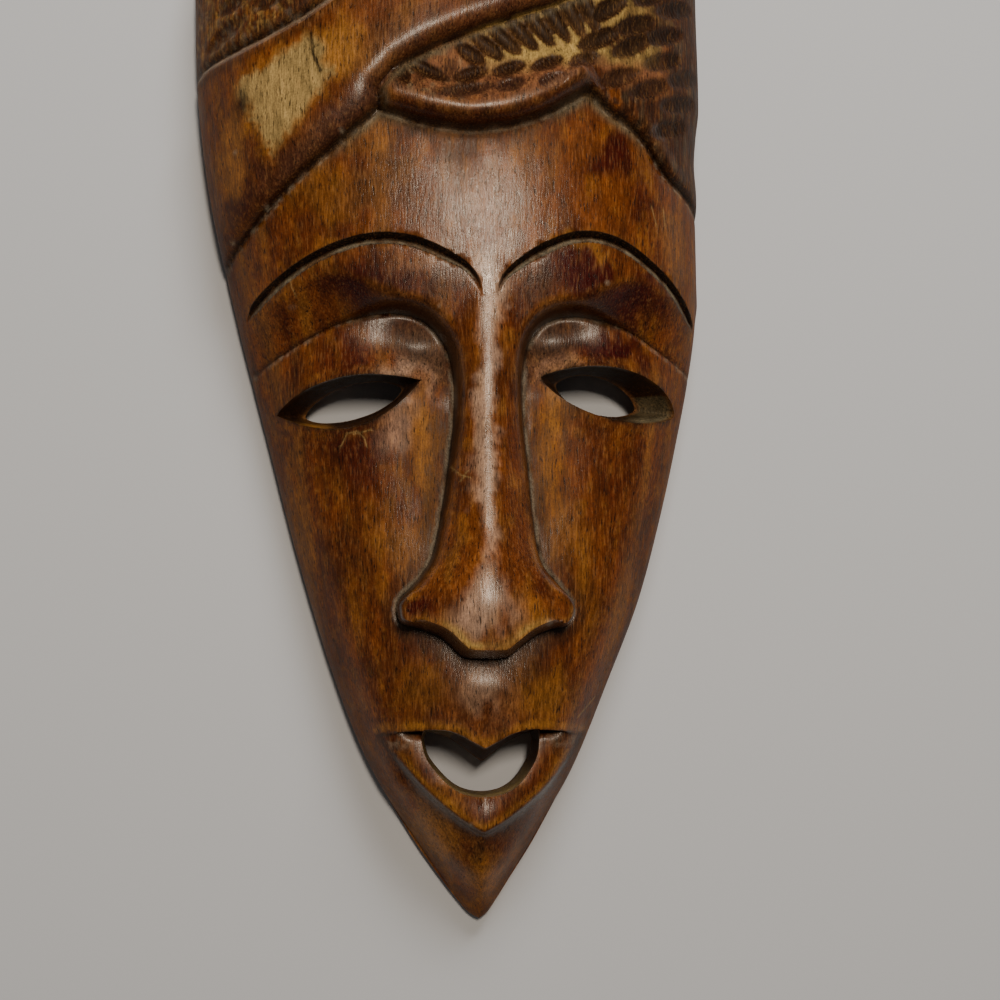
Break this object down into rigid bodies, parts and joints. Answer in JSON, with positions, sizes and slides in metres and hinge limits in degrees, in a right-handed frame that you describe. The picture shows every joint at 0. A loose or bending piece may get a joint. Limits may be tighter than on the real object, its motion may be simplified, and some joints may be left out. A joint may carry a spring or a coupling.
{
  "type": "wooden mask",
  "caption": "Long carved wooden face mask with see-through eyes and mouth, long nose, swept hair and a hollow back.",
  "frame": {"origin": "centre of the mask's outline in the plane of its flat back rim", "axes": "+Y from the chin tip to the crown, +Z out of the face from the back rim, +X to the right as seen from the front"},
  "size_m": [0.1672, 0.39, 0.0611],
  "materials": {
    "waxed_wood": "hand-carved hardwood, stained red-brown and waxed, dust in the cuts and a pale patch of sapwood"
  },
  "bodies": {
    "root": {"mask": "waxed_wood"}
  },
  "joints": []
}
